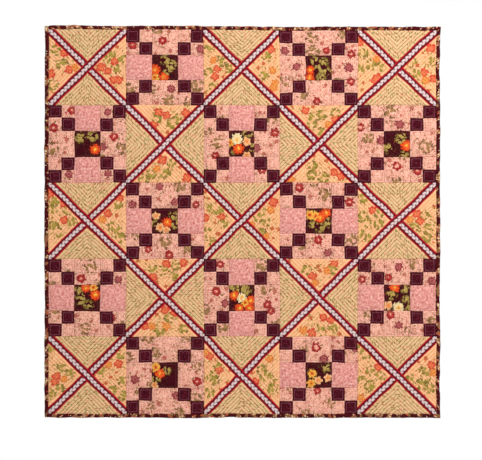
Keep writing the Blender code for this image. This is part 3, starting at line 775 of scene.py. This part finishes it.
def rod():
    """The wooden rod, with softly rounded ends and a trace of hand sanding."""
    low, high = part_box("hanging_rod")
    radius = (high.z - low.z) / 2
    middle_y, middle_z = (low.y + high.y) / 2, (low.z + high.z) / 2
    turn = np.linspace(0, 2 * math.pi, 64, endpoint=False)
    curve = np.linspace(0, math.pi / 2, 7)
    end, sanding = 1.8 * MM, 0.05 * MM
    round_x, round_r = end - end * np.cos(curve), radius - end + end * np.sin(curve)
    straight = np.linspace(low.x + end, high.x - end, 60)[1:-1]
    along = np.concatenate((low.x + round_x, straight, high.x - round_x[::-1]))
    radii = np.concatenate((round_r, np.full(len(straight), radius), round_r[::-1]))
    rings, maps = [], []
    for x, r in zip(along, radii):
        around = r - sanding + sanding * np.sin(3 * turn + 40 * x)
        y, z = middle_y + around * np.cos(turn), middle_z + around * np.sin(turn)
        rings.append(np.column_stack((np.full(len(turn), x), y, z)))
        maps.append(np.column_stack((np.full(len(turn), x / MM), turn * radius / MM)))
    return ring_body(rings, "rod_wood", "wood", maps)


def screw(side):
    """A countersunk wood screw, with its thread and a cross cut in its head."""
    low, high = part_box(f"wall_screw_{side}")
    x, z = (low.x + high.x) / 2, (low.z + high.z) / 2
    head = (high.x - low.x) / 2
    length = high.y - low.y
    core, shank, pitch = 1.35 * MM, 1.95 * MM, 1.7 * MM
    rim, cone, plain, tip = 0.15 * MM, 2.4 * MM, 9 * MM, 5 * MM  # depths, and the point's length
    turn = np.linspace(0, 2 * math.pi, 32, endpoint=False)
    rings, maps = [], []
    for depth in (0, rim, cone, *np.linspace(plain, length, 150)):
        if depth <= cone:
            radius = np.full(len(turn), head + (shank - head) * max(depth - rim, 0) / (cone - rim))
        else:
            phase = (depth / pitch - turn / (2 * math.pi)) % 1
            ridge = np.maximum(0, 1 - np.abs(phase - 0.5) * 4) * min(1, (depth - plain) / (2 * MM))
            taper = min(1, (length - depth) / tip) ** 0.8
            cut = core + (shank - core) * ridge
            radius = (cut if depth > plain else shank) * taper + 0.02 * MM
            radius = np.broadcast_to(radius, turn.shape)
        y = np.full(len(turn), low.y + depth)
        rings.append(np.column_stack((x + radius * np.cos(turn), y, z + radius * np.sin(turn))))
        maps.append(np.column_stack((np.full(len(turn), depth / MM), turn * shank / MM)))
    piece = ring_body(rings, f"screw_{side}", "screw", maps)
    long, deep, narrow = 4.6 * MM, 2.6 * MM, 1.0 * MM
    for size in ((long, deep, narrow), (narrow, deep, long)):
        bpy.ops.mesh.primitive_cube_add(size=1, location=(x, low.y, z))
        cutter = bpy.context.active_object
        cutter.scale = size
        cut = piece.modifiers.new("cross", "BOOLEAN")
        cut.operation = "DIFFERENCE"
        cut.object = cutter
        apply_modifiers(piece)
        bpy.data.objects.remove(cutter, do_unlink=True)
    piece.data.set_sharp_from_angle(angle=math.radians(35))
    return piece


def apply_modifiers(piece):
    """Replaces a piece's mesh by what its modifiers make of it."""
    bpy.context.view_layer.update()
    graph = bpy.context.evaluated_depsgraph_get()
    mesh = bpy.data.meshes.new_from_object(piece.evaluated_get(graph))
    piece.modifiers.clear()
    piece.data = mesh


def hook(side):
    """The bent steel hook, its edges eased as a tumbled strip's are."""
    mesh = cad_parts[f"wall_hook_{side}"].data.copy()
    if "custom_normal" in mesh.attributes:
        mesh.attributes.remove(mesh.attributes["custom_normal"])
    mesh.materials.clear()
    mesh.materials.append(FINISH["steel"])
    piece = show(f"hook_{side}", mesh)
    with edited(mesh) as shape:
        bmesh.ops.remove_doubles(shape, verts=shape.verts, dist=1e-6)
        flat = math.radians(1)
        bmesh.ops.dissolve_limit(shape, angle_limit=flat, verts=shape.verts, edges=shape.edges)
    ease = piece.modifiers.new("eased_edges", "BEVEL")
    ease.width = 0.4 * MM
    ease.segments = 3
    ease.limit_method = "ANGLE"
    ease.angle_limit = math.radians(50)
    apply_modifiers(piece)
    piece.data.shade_smooth()
    flatten = piece.modifiers.new("flat_faces", "WEIGHTED_NORMAL")
    flatten.weight = 100
    apply_modifiers(piece)
    return piece


def sleeve():
    """The cloth sleeve sewn to the back, with soft creases where it hangs off the rod."""
    low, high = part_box("hanging_sleeve")
    rod_low, rod_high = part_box("hanging_rod")
    axis_y, axis_z = (rod_low.y + rod_high.y) / 2, (rod_low.z + rod_high.z) / 2
    radius = (rod_high.z - rod_low.z) / 2 + 0.3 * MM
    thick = 0.7 * MM
    seam = low.z + 5 * MM
    outer = sleeve_wall(low.y, radius + thick, axis_y, axis_z, low.z)
    inner = sleeve_wall(low.y + thick, radius, axis_y, axis_z, seam)[::-1]
    section = np.concatenate([outer, inner])
    steps = np.hypot(*np.diff(section, axis=0, append=section[:1]).T)
    over = np.concatenate([[0], np.cumsum(steps)[:-1]]) / MM
    stations = np.linspace(low.x, high.x, 220)
    flat_y, z = section.T
    loose = smoothstep(axis_z - z, 0.004, 0.03) * smoothstep(z - low.z, 0.002, 0.02)
    loose = np.where(flat_y > low.y + 2 * MM, loose, 0)  # only the wall behind the rod
    rings, maps = [], []
    for x in stations:
        crease = 0.9 * MM * waves(x, z * 0.35, 0.06, 51)
        swell = 0.5 * MM * waves(x, z, 0.16, 52)
        y = flat_y + loose * (np.abs(crease) + swell)
        rings.append(np.column_stack((np.full(len(z), x), y, z)))
        maps.append(np.column_stack((np.full(len(z), x / MM), over)))
    return ring_body(rings, "sleeve_cloth", "sleeve", maps)


def sleeve_wall(front, radius, axis_y, axis_z, lower):
    """A wall of the sleeve's section: from its foot up behind, over the rod, and down in front."""
    foot = (front + 1.5 * MM, lower)
    away = math.hypot(foot[0] - axis_y, foot[1] - axis_z)
    slope = math.atan2(foot[1] - axis_z, foot[0] - axis_y)
    tangent = slope + math.acos(radius / away)
    turn = np.linspace(tangent, math.pi / 2, 14)
    over = np.column_stack((axis_y + radius * np.cos(turn), axis_z + radius * np.sin(turn)))
    rise = np.linspace(foot, over[0], 16)[:-1]
    corner = radius * 0.45
    top = axis_z + radius - corner
    bend = np.linspace(math.pi / 2, math.pi, 6)
    fold = np.column_stack((front + corner * (1 + np.cos(bend)), top + corner * np.sin(bend)))
    drop = np.linspace((front, top), (front, lower), 16)[1:]
    return np.concatenate([rise, over, fold, drop])


# Materials


class Shader:
    """A material's nodes, with short calls for the ones used here."""

    def __init__(self, name):
        self.material = bpy.data.materials.new(name)
        self.material.use_nodes = True
        self.nodes = self.material.node_tree.nodes
        self.links = self.material.node_tree.links
        self.surface = self.nodes["Principled BSDF"]

    def feed(self, socket, value):
        if isinstance(value, bpy.types.NodeSocket):
            self.links.new(value, socket)
        else:
            socket.default_value = value

    def node(self, kind, inputs, **settings):
        made = self.nodes.new("ShaderNode" + kind)
        for name, value in settings.items():
            setattr(made, name, value)
        for name, value in inputs.items():
            self.feed(made.inputs[name], value)
        return made

    def math(self, operation, *values, clamp=False):
        inputs = dict(enumerate(values))
        return self.node("Math", inputs, operation=operation, use_clamp=clamp).outputs[0]

    def times(self, *values):
        return self.math("MULTIPLY", *values)

    def vector(self, operation, *values):
        return self.node("VectorMath", dict(enumerate(values)), operation=operation).outputs[0]

    def mix(self, share, low, high, blend="MIX"):
        inputs = {0: share, 6: low, 7: high}
        return self.node("Mix", inputs, data_type="RGBA", blend_type=blend).outputs[2]

    def smooth(self, value, low, high):
        inputs = {"Value": value, "From Min": low, "From Max": high}
        return self.node("MapRange", inputs, interpolation_type="SMOOTHSTEP").outputs[0]

    def scale(self, value, low, high):
        inputs = {"Value": value, "To Min": low, "To Max": high}
        return self.node("MapRange", inputs).outputs[0]

    def uv(self, name):
        return self.node("UVMap", {}, uv_map=name).outputs[0]

    def cloth(self):
        """The place on the printed cloth, in millimetres."""
        return self.uv("cloth")

    def split(self, vector):
        return self.node("SeparateXYZ", {0: vector}).outputs[:2]

    def join(self, x, y):
        return self.node("CombineXYZ", {0: x, 1: y}).outputs[0]

    def noise(self, place, size, detail=2.0, rough=0.5, output=0):
        inputs = {"Vector": place, "Scale": 1 / size, "Detail": detail, "Roughness": rough}
        return self.node("TexNoise", inputs, noise_dimensions="2D").outputs[output]

    def cells(self, place, size, feature="F1"):
        inputs = {"Vector": place, "Scale": 1 / size}
        return self.node("TexVoronoi", inputs, voronoi_dimensions="2D", feature=feature).outputs

    def ramp(self, value, stops, interpolation="LINEAR"):
        made = self.node("ValToRGB", {0: value})
        made.color_ramp.interpolation = interpolation
        elements = made.color_ramp.elements
        while len(elements) < len(stops):
            elements.new(1.0)
        for element, (position, colour) in zip(elements, stops):
            element.position = position
            element.color = colour
        return made.outputs[0]

    def tint(self, colour, factor):
        """A colour made lighter or darker by a factor that varies."""
        grey = self.node("CombineColor", {0: factor, 1: factor, 2: factor}).outputs[0]
        return self.mix(1.0, colour, grey, "MULTIPLY")

    def finished(self, colour, roughness, height, distance, strength, **constants):
        """The material, with its colour, its roughness and a bump of this height."""
        bump = self.node("Bump", {"Height": height, "Distance": distance, "Strength": strength})
        surface = self.surface.inputs
        self.feed(surface["Base Color"], colour)
        self.feed(surface["Roughness"], roughness)
        self.feed(surface["Normal"], bump.outputs[0])
        for name, value in constants.items():
            surface[name.replace("_", " ")].default_value = value
        return self.material


def woven(shader, colour, quilted=True, line_colour=None, groove_shade_strength=0.30, thread_shows=0.6,
          yarn=0.55, gloss=0.2):
    """Finishes a cotton: its weave, painted shade along the quilting's grooves, the quilting
    thread, and a faint sheen.
    """
    place = shader.cloth()
    x, y = shader.split(place)
    warp, weft = (shader.math("SINE", shader.times(way, 2 * math.pi / yarn)) for way in (x, y))
    slub = shader.noise(place, 2.6, 3.0, 0.6)
    height = shader.math("MULTIPLY_ADD", shader.times(warp, weft), 0.35, slub)
    tone_and_groove_shade = shader.math("MULTIPLY_ADD", slub, 0.16, 0.92)
    if quilted:
        phase, along = shader.split(shader.uv("quilting"))
        # Painted shade: the cloth's colour is darkened along each quilted line's groove, where
        # shade falls.
        line = shader.math("PINGPONG", phase, 0.5)
        groove_shade_mask = shader.smooth(line, 0.19, 0.02)
        uneven = shader.noise(place, 4.5, 1.0)
        depth = shader.times(groove_shade_mask, shader.scale(uneven, groove_shade_strength * 0.5, groove_shade_strength * 1.5))
        tone_and_groove_shade = shader.math("SUBTRACT", tone_and_groove_shade, depth)
        stitch = shader.smooth(shader.math("PINGPONG", along, 1.3), 0.35, 0.5)
        thread = shader.times(shader.smooth(line, 0.11, 0.07), stitch)
        thread = shader.times(thread, shader.math("GREATER_THAN", phase, 0.5))
        height = shader.math("MULTIPLY_ADD", thread, 1.2, height)
        colour = shader.mix(shader.times(thread, thread_shows), colour, line_colour)
    sheen = {"Sheen_Weight": gloss / 4, "Sheen_Roughness": 0.5, "Specular_IOR_Level": gloss}
    roughness = shader.scale(slub, 0.80, 0.96)
    return shader.finished(shader.tint(colour, tone_and_groove_shade), roughness, height, 0.12 * MM, 0.6, **sheen)


def vines(shader, size, width):
    """Thin wandering lines, such as printed stems."""
    bend = shader.noise(shader.cloth(), size, 1.5, 0.4)
    away = shader.math("ABSOLUTE", shader.math("SUBTRACT", bend, 0.5))
    return shader.smooth(away, width, width / 2)


def printed_flowers(shader, ground, leaf, bud, scatter=0.4):
    """Draws the flower or leaf spray that the motif map places, with bits of leaf round it."""
    place = shader.cloth()
    wander = shader.noise(place, 6.0, 2.0, 0.55, output=1)
    wander = shader.vector("SUBTRACT", wander, (0.5, 0.5, 0.5))
    wander = shader.vector("MULTIPLY", wander, (0.85, 0.85, 0.85))
    spot = shader.vector("ADD", shader.uv("motif"), wander)
    x, y = shader.split(spot)
    radius = shader.node("VectorMath", {0: spot}, operation="LENGTH").outputs["Value"]
    angle = shader.math("ARCTAN2", y, x)
    kind = shader.node("Attribute", {}, attribute_name="motif_kind").outputs["Fac"]

    def by_kind(values):
        stops = [(number / len(MOTIFS), value) for number, value in enumerate(values)]
        return shader.ramp(kind, stops, "CONSTANT")

    rows = MOTIFS.values()
    most_petals = 16  # a colour channel holds 0 to 1
    shape = by_kind([(row.petals / most_petals, row.notch, row.heart, 1.0) for row in rows])
    petals, notch, heart = shader.node("SeparateColor", {0: shape}).outputs[:3]
    outer = by_kind([row.outer for row in rows])
    inner = by_kind([row.inner for row in rows])
    middle = by_kind([row.middle for row in rows])
    turns = shader.times(shader.times(angle, petals), most_petals / 2)
    lobes = shader.math("ABSOLUTE", shader.math("COSINE", turns))
    drawn_in = shader.times(notch, shader.math("SUBTRACT", 1.0, lobes))
    edge = shader.math("SUBTRACT", 0.97, drawn_in)
    share = shader.math("DIVIDE", radius, edge)
    inside = shader.smooth(share, 1.06, 0.90)
    bent = shader.noise(place, 11.0, 1.0, output=1)
    bent = shader.vector("MULTIPLY_ADD", bent, (11.0, 11.0, 0.0), place)
    bits = shader.cells(shader.vector("MULTIPLY", bent, (1.0, 0.62, 1.0)), LEAFLET)
    red, green, _ = shader.node("SeparateColor", {0: bits["Color"]}).outputs[:3]
    leaflet = shader.smooth(bits["Distance"], 0.52, 0.40)
    spray = shader.math("LESS_THAN", petals, 0.01)
    inside = shader.mix(spray, inside, shader.times(inside, leaflet))
    chosen = shader.math("LESS_THAN", red, scatter)
    near = shader.times(shader.smooth(radius, 2.0, 1.4), chosen)
    bit_colour = shader.mix(shader.math("GREATER_THAN", green, 0.66), leaf, bud)
    small = shader.smooth(bits["Distance"], 0.30, 0.20)
    ground = shader.mix(shader.times(near, small), ground, bit_colour)
    stems = shader.times(vines(shader, 14.0, 0.022), shader.smooth(radius, 2.2, 1.6))
    ground = shader.mix(shader.times(stems, 0.7), ground, leaf)
    colour = shader.mix(shader.smooth(share, 0.15, 0.95), inner, outer)
    colour = shader.mix(shader.times(spray, green), colour, inner)
    between = shader.smooth(lobes, 0.0, 0.35)
    colour = shader.tint(colour, shader.scale(between, 0.66, 1.0))
    mottle = shader.noise(place, 3.0, 3.0, 0.6)
    colour = shader.tint(colour, shader.scale(mottle, 0.40, 1.55))
    in_heart = shader.smooth(radius, heart, shader.times(heart, 0.6))
    colour = shader.mix(in_heart, colour, middle)
    rim = shader.times(shader.smooth(share, 0.78, 0.95), 0.22)
    colour = shader.tint(colour, shader.math("SUBTRACT", 1.0, rim))
    return shader.mix(inside, ground, colour)


def speckled(shader, ground, size, stops, reach=0.33, share=0.6, stretch=(1.0, 1.0)):
    """Scatters small marks over the ground, in colours drawn from stops."""
    cells = shader.cells(shader.vector("MULTIPLY", shader.cloth(), (*stretch, 1.0)), size)
    red, green, _ = shader.node("SeparateColor", {0: cells["Color"]}).outputs[:3]
    inside = shader.smooth(cells["Distance"], reach, reach * 0.55)
    mark = shader.times(inside, shader.math("LESS_THAN", red, share))
    return shader.mix(mark, ground, shader.ramp(green, stops, "CONSTANT"))


def khaki():
    shader = Shader("khaki_cotton")
    place = shader.cloth()
    ground = shader.mix(shader.noise(place, 9.0), srgb(220, 174, 124), srgb(242, 200, 150))
    olive, brown, pink = srgb(158, 138, 80), srgb(176, 124, 78), srgb(230, 152, 120)
    stops = [(0.0, olive), (0.38, brown), (0.66, pink), (0.86, srgb(186, 172, 110))]
    ground = speckled(shader, ground, 5.8, stops, 0.42, 0.60, (1.0, 0.55))
    return woven(shader, ground, groove_shade_strength=0.40, line_colour=srgb(140, 106, 62))


def peach():
    shader = Shader("peach_cotton")
    place = shader.cloth()
    ground = shader.mix(shader.noise(place, 14.0), srgb(252, 176, 124), srgb(255, 200, 150))
    where = shader.smooth(shader.noise(place, 22.0), 0.48, 0.62)
    trail = shader.times(vines(shader, 19.0, 0.02), where)
    ground = shader.mix(shader.times(trail, 0.6), ground, srgb(206, 170, 84))
    ground = printed_flowers(shader, ground, srgb(150, 130, 48), srgb(214, 104, 58))
    return woven(shader, ground, groove_shade_strength=0.20, line_colour=srgb(196, 132, 84), thread_shows=0.5)


def floral():
    shader = Shader("rose_cotton")
    place = shader.cloth()
    ground = shader.mix(shader.noise(place, 10.0, 3.0), srgb(234, 160, 138), srgb(255, 196, 174))
    where = shader.smooth(shader.noise(place, 15.0), 0.38, 0.5)
    trail = shader.times(vines(shader, 12.0, 0.035), where)
    ground = shader.mix(shader.times(trail, 0.7), ground, srgb(166, 106, 74))
    stops = [(0.0, srgb(206, 108, 98)), (0.5, srgb(176, 110, 76)), (0.8, srgb(252, 204, 182))]
    ground = speckled(shader, ground, 5.0, stops, 0.36, 0.55)
    ground = printed_flowers(shader, ground, srgb(140, 98, 58), srgb(178, 70, 66))
    return woven(shader, ground, line_colour=srgb(226, 178, 156), groove_shade_strength=0.26)


def mottled():
    shader = Shader("mottled_rose_cotton")
    blotch = shader.noise(shader.cloth(), 7.0, 5.0, 0.78)
    stops = [
        (0.34, srgb(182, 96, 90)),
        (0.48, srgb(224, 146, 136)),
        (0.58, srgb(238, 168, 156)),
        (0.68, srgb(255, 210, 196)),
    ]
    ground = shader.ramp(blotch, stops)
    return woven(shader, ground, line_colour=srgb(246, 196, 184), groove_shade_strength=0.26)


def plum():
    shader = Shader("plum_cotton")
    place = shader.cloth()
    ground = shader.mix(shader.noise(place, 9.0, 4.0, 0.65), srgb(30, 0, 14), srgb(98, 24, 36))
    stops = [(0.0, srgb(116, 44, 60)), (0.6, srgb(40, 3, 16))]
    ground = speckled(shader, ground, 4.4, stops, 0.36, 0.5)
    thread = srgb(200, 122, 132)
    return woven(shader, ground, line_colour=thread, groove_shade_strength=0.35, thread_shows=0.85, gloss=0.05)


def posy():
    shader = Shader("posy_cotton")
    place = shader.cloth()
    ground = shader.mix(shader.noise(place, 8.0, 3.0), srgb(44, 3, 14), srgb(80, 14, 26))
    ground = printed_flowers(shader, ground, srgb(76, 52, 26), srgb(120, 40, 28), 0.2)
    return woven(shader, ground, line_colour=srgb(140, 84, 74), groove_shade_strength=0.2, gloss=0.06)


def rope():
    """The strips' border print: a pale plaited chain on plum, between two red lines."""
    shader = Shader("rope_cotton")
    place = shader.cloth()
    along, across = shader.split(place)
    from_middle = shader.math("ABSOLUTE", across)
    ground = shader.mix(shader.noise(place, 4.0), srgb(94, 6, 22), srgb(122, 18, 32))
    edge = shader.smooth(from_middle, HALF_STRIP / MM - 3.0, HALF_STRIP / MM - 2.0)
    colour = shader.mix(edge, ground, srgb(196, 26, 40))
    pitch, aside, half_length, half_width = 14.5, 2.35, 7.1, 4.3  # millimetres
    lean = 0.55
    for side, offset in ((1, 0.0), (-1, 0.5)):
        centre = shader.math("SUBTRACT", across, side * aside)
        leant = shader.math("MULTIPLY_ADD", centre, side * lean, along)
        turns = shader.math("ADD", shader.math("DIVIDE", leant, pitch), offset)
        local = shader.times(shader.math("SUBTRACT", shader.math("FRACT", turns), 0.5), pitch)
        away = 0.0
        for reach, half, power in ((local, half_length, 2.4), (centre, half_width, 2.0)):
            share = shader.math("ABSOLUTE", shader.math("DIVIDE", reach, half))
            away = shader.math("ADD", away, shader.math("POWER", share, power))
        shading = shader.smooth(away, 0.15, 0.85)
        strand = shader.mix(shading, srgb(228, 206, 202), srgb(146, 116, 120))
        colour = shader.mix(shader.smooth(away, 1.0, 0.82), colour, strand)
    return woven(shader, colour, quilted=False, gloss=0.1)


def binding_cotton():
    shader = Shader("binding_cotton")
    place = shader.cloth()
    ground = shader.mix(shader.noise(place, 7.0, 3.0), srgb(50, 2, 10), srgb(90, 20, 22))
    warm = [
        (0.0, srgb(226, 182, 138)),
        (0.3, srgb(196, 84, 46)),
        (0.5, srgb(128, 104, 50)),
        (0.75, srgb(240, 206, 160)),
    ]
    spray = speckled(shader, srgb(150, 92, 64), 6.4, warm, 0.52, 0.8)
    spray = shader.tint(spray, shader.scale(shader.noise(place, 3.0, 3.0), 0.5, 1.4))
    flowers = shader.smooth(shader.noise(place, 17.0, 1.0, 0.3), 0.53, 0.58)
    ground = shader.mix(flowers, ground, spray)
    ground = speckled(shader, ground, 7.0, warm, 0.26, 0.22)
    return woven(shader, ground, quilted=False, gloss=0.08)


def backing_cotton():
    shader = Shader("backing_cotton")
    place = shader.cloth()
    ground = shader.mix(shader.noise(place, 12.0), srgb(222, 196, 158), srgb(236, 214, 178))
    stops = [(0.0, srgb(196, 146, 116)), (0.4, srgb(172, 156, 108)), (0.7, srgb(214, 140, 120))]
    ground = speckled(shader, ground, 7.5, stops, 0.26, 0.55)
    return woven(shader, ground, line_colour=srgb(150, 112, 84), groove_shade_strength=0.25, thread_shows=0.4)


def sleeve_cotton():
    shader = Shader("sleeve_cotton")
    place = shader.cloth()
    ground = shader.mix(shader.noise(place, 16.0), srgb(226, 206, 172), srgb(238, 222, 190))
    return woven(shader, ground, yarn=0.7, quilted=False)


def batting_fibre():
    shader = Shader("batting_fibre")
    place = shader.cloth()
    clumps = shader.noise(place, 3.0, 4.0, 0.7)
    colour = shader.mix(clumps, srgb(226, 218, 200), srgb(246, 242, 230))
    fibre = shader.noise(place, 1.2, 4.0, 0.7)
    return shader.finished(colour, shader.scale(fibre, 0.9, 1.0), fibre, 0.4 * MM, 0.8)


def wood():
    """Pale softwood, with its grain along the rod."""
    shader = Shader("rod_softwood")
    along, around = shader.split(shader.cloth())
    stretched = shader.join(shader.times(along, 0.04), around)
    grain = shader.noise(stretched, 2.2, 5.0, 0.65)
    pores = shader.noise(shader.join(shader.times(along, 0.15), around), 0.5, 2.0)
    stops = [(0.30, srgb(168, 116, 66)), (0.5, srgb(206, 160, 104)), (0.68, srgb(226, 186, 132))]
    colour = shader.tint(shader.ramp(grain, stops), shader.scale(pores, 0.84, 1.1))
    return shader.finished(colour, shader.scale(grain, 0.62, 0.48), pores, 0.05 * MM, 0.5)


def steel(name, colour, roughness):
    """Bright zinc-plated steel, brushed and slightly clouded."""
    shader = Shader(name)
    place = shader.node("TexCoord", {}).outputs["Object"]
    brushed = shader.vector("MULTIPLY", place, (1.0, 30.0, 30.0))
    scratches = shader.node("TexNoise", {"Vector": brushed, "Scale": 60.0, "Detail": 3.0})
    scratches = scratches.outputs[0]
    clouds = shader.node("TexNoise", {"Vector": place, "Scale": 180.0, "Detail": 2.0}).outputs[0]
    colour = shader.tint(colour, shader.scale(clouds, 0.82, 1.08))
    dull = shader.scale(scratches, roughness - 0.08, roughness + 0.12)
    return shader.finished(colour, dull, scratches, 0.02 * MM, 0.4, Metallic=1.0)


# Stage


def floor():
    """A pale round floor below the quilt."""
    below = (0, 0, EDGE_LOW.z - FLOOR_BELOW)
    bpy.ops.mesh.primitive_circle_add(
        vertices=96, radius=FLOOR_RADIUS, fill_type="NGON", location=below
    )
    plane = bpy.context.active_object
    plane.name = "floor"
    shader = Shader("pale_floor")
    shader.feed(shader.surface.inputs["Base Color"], (0.80, 0.79, 0.77, 1.0))
    shader.feed(shader.surface.inputs["Roughness"], 0.9)
    plane.data.materials.append(shader.material)


def sky():
    """An even white surround, which the camera sees as white paper."""
    world = bpy.data.worlds.new("white_surround")
    bpy.context.scene.world = world
    world.use_nodes = True
    tree = world.node_tree
    seen = tree.nodes.new("ShaderNodeBackground")
    seen.inputs["Color"].default_value = (1.0, 1.0, 1.0, 1.0)
    seen.inputs["Strength"].default_value = 1.0
    light = tree.nodes["Background"]
    light.inputs["Color"].default_value = (1.0, 0.995, 0.985, 1.0)
    light.inputs["Strength"].default_value = SURROUND
    path = tree.nodes.new("ShaderNodeLightPath")
    mix = tree.nodes.new("ShaderNodeMixShader")
    tree.links.new(path.outputs["Is Camera Ray"], mix.inputs["Fac"])
    tree.links.new(light.outputs[0], mix.inputs[1])
    tree.links.new(seen.outputs[0], mix.inputs[2])
    tree.links.new(mix.outputs[0], tree.nodes["World Output"].inputs["Surface"])


def lamp(name, watts, size, place, target):
    data = bpy.data.lights.new(name, "AREA")
    data.energy = watts
    data.size = size
    obj = bpy.data.objects.new(name, data)
    obj.location = place
    obj.rotation_euler = (target - place).to_track_quat("-Z", "Y").to_euler()
    bpy.context.scene.collection.objects.link(obj)


def lights():
    middle = Vector((MIDDLE_X, 0, MIDDLE_Z))
    lamp("key", KEY_WATTS, 1.2, middle + KEY_FROM, middle)
    lamp("fill_behind", FILL_WATTS, 2.0, middle + FILL_FROM, middle)


def camera():
    """Square on to the quilt, from far enough to flatten it, with the photograph's margins."""
    data = bpy.data.cameras.new("camera")
    data.sensor_width = 36.0
    data.lens = data.sensor_width * CAMERA_AWAY / VIEW_WIDTH
    obj = bpy.data.objects.new("camera", data)
    right, up = CAMERA_SHIFT
    obj.location = (MIDDLE_X + right, PATCH_BACK - CAMERA_AWAY, MIDDLE_Z + RISE + up)
    obj.rotation_euler = (math.pi / 2, 0, 0)
    bpy.context.scene.collection.objects.link(obj)
    bpy.context.scene.camera = obj
    bpy.context.scene.view_settings.view_transform = "Standard"


FINISH = {
    "khaki": khaki(),
    "peach": peach(),
    "rope": rope(),
    "floral": floral(),
    "mottled": mottled(),
    "plum": plum(),
    "posy": posy(),
    "binding": binding_cotton(),
    "backing": backing_cotton(),
    "sleeve": sleeve_cotton(),
    "batting": batting_fibre(),
    "wood": wood(),
    "steel": steel("hook_steel", srgb(196, 198, 202), 0.34),
    "screw": steel("screw_steel", srgb(206, 206, 204), 0.28),
}


def place(piece, body, slot, *nodes):
    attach(piece, body)
    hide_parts(*nodes)
    return piece


def quilt_top():
    for row in range(GRID):
        for column in range(GRID):
            name = f"_block_{row + 1}_{column + 1}"
            if (row + column) % 2:
                piece = chain_block(row, column)
                hang(piece)
                place(piece, "quilt", "rose_print", "chain" + name)
                continue
            triangles, strips = crossed_block(row, column)
            hang(triangles)
            hang(strips)
            name = "crossed" + name
            place(triangles, "quilt", "peach_print", name + "_upper_half", name + "_lower_half")
            place(strips, "quilt", "rope_print", name + "_long_strip")


def quilt_layers():
    filling, back, edge = batting(), backing(), binding()
    for piece in (filling, back, edge):
        hang(piece)
    place(filling, "quilt", "batting", "batting")
    place(back, "quilt", "backing_cloth", "backing")
    place(edge, "quilt", "binding_print", "binding")


def rail():
    cloth = sleeve()
    place(cloth, "quilt", "sleeve_cloth", "hanging_sleeve")
    place(rod(), "rod", "rod_wood", "hanging_rod")
    for side in ("left", "right"):
        place(hook(side), "wall_hooks", "hook_steel", f"wall_hook_{side}")
        place(screw(side), "wall_hooks", "screw_steel", f"wall_screw_{side}")


camera()
sky()
lights()
floor()
quilt_top()
quilt_layers()
rail()
